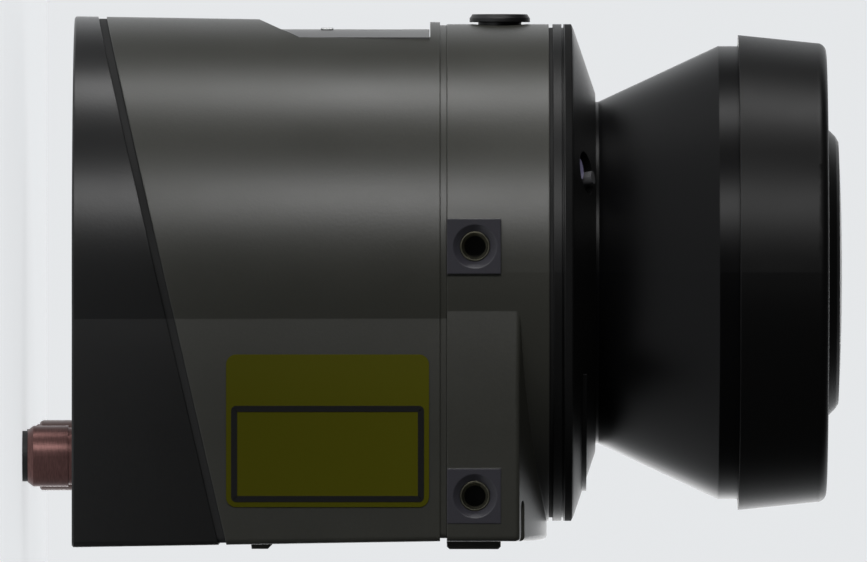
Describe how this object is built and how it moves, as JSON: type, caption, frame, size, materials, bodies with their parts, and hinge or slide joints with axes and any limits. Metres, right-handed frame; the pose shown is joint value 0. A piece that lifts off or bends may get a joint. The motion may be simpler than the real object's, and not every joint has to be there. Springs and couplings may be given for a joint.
{
  "type": "lidar sensor",
  "caption": "Compact laser scanner: a spinning mirror behind a dark conical hood, on a cast housing with a sloping base, round connectors and threaded mounting pads.",
  "frame": {"origin": "on the flat foot of the base, at the scan axis", "axes": "+Z along the scan axis from the base to the cap, -Y to the front with the indicator panel and service port, +Y to the rear mounting threads, +X to the side with the yellow plate"},
  "size_m": [0.1022, 0.1057, 0.162],
  "materials": {
    "grey_casting": "satin paint",
    "black_casting": "satin paint",
    "black_plastic": "fine grain",
    "hood_plastic": "polished, clear only to infrared",
    "panel_plastic": "satin",
    "smoked_window": "polished",
    "lamp_lens": "clear",
    "seal_rubber": "matt",
    "yellow_film": "satin film",
    "thread_steel": "machined",
    "plug_metal": "coated",
    "socket_metal": "nickel plated",
    "contact_gold": "gold plated",
    "inner_aluminium": "machined",
    "board_green": "solder mask",
    "flex_amber": "polyimide",
    "coil_copper": "enamelled",
    "optic_glass": "polished",
    "mirror_coat": "coated",
    "diode_can": "plated"
  },
  "bodies": {
    "housing": {"base_housing": "black_casting", "base_seal": "seal_rubber", "lower_housing": "grey_casting", "upper_housing": "grey_casting", "indicator_panel": "panel_plastic", "display_window": "smoked_window", "status_lenses": "lamp_lens", "indicator_board": "board_green", "side_thread_inserts": "thread_steel", "rear_thread_inserts": "thread_steel", "service_port_socket": "black_plastic", "label_plate": "yellow_film", "collar_seal": "seal_rubber", "optics_collar": "black_casting", "monitor_lenses": "optic_glass", "monitor_receivers": "diode_can", "optics_window": "hood_plastic", "window_seal": "seal_rubber", "window_clamp_ring": "inner_aluminium", "cap_seal": "seal_rubber", "top_cap": "black_plastic", "optics_frame": "inner_aluminium", "motor_flex": "flex_amber", "motor_bracket": "inner_aluminium", "motor_bearings": "thread_steel", "motor_stator": "coil_copper", "encoder_head": "black_plastic", "lens_barrel": "inner_aluminium", "receiver_lens": "optic_glass", "transmitter_tube": "inner_aluminium", "collimator_lens": "optic_glass", "laser_diode": "diode_can", "receiver_board": "board_green", "photodiode": "diode_can", "power_board": "board_green", "processor_board": "board_green", "board_standoffs": "inner_aluminium", "board_screws": "thread_steel", "interface_board": "board_green", "ribbon_cable": "flex_amber", "contact_pins": "contact_gold", "base_screws": "thread_steel", "collar_screws": "thread_steel", "frame_screws": "thread_steel", "cap_screws": "thread_steel", "power_plug_shell": "plug_metal", "power_plug_insert": "black_plastic", "io_socket_shell": "socket_metal", "io_socket_insert": "black_plastic", "network_socket_shell": "socket_metal", "network_socket_insert": "black_plastic", "data_plug_shell": "plug_metal", "data_plug_insert": "black_plastic"},
    "rotor": {"motor_rotor": "inner_aluminium", "motor_shaft": "thread_steel", "encoder_disc": "optic_glass", "mirror_carrier": "inner_aluminium", "scan_mirror": "mirror_coat"},
    "port_cap": {"service_port_cap": "black_plastic"}
  },
  "joints": [
    {"name": "mirror_spin", "type": "hinge", "parent": "housing", "child": "rotor", "pos_m": [0, 0, 0.116], "axis": [0, 0, 1], "continuous": true},
    {"name": "port_cap_pull", "type": "slide", "parent": "housing", "child": "port_cap", "axis": [0, -1, 0], "range_m": [0, 0.015]}
  ]
}
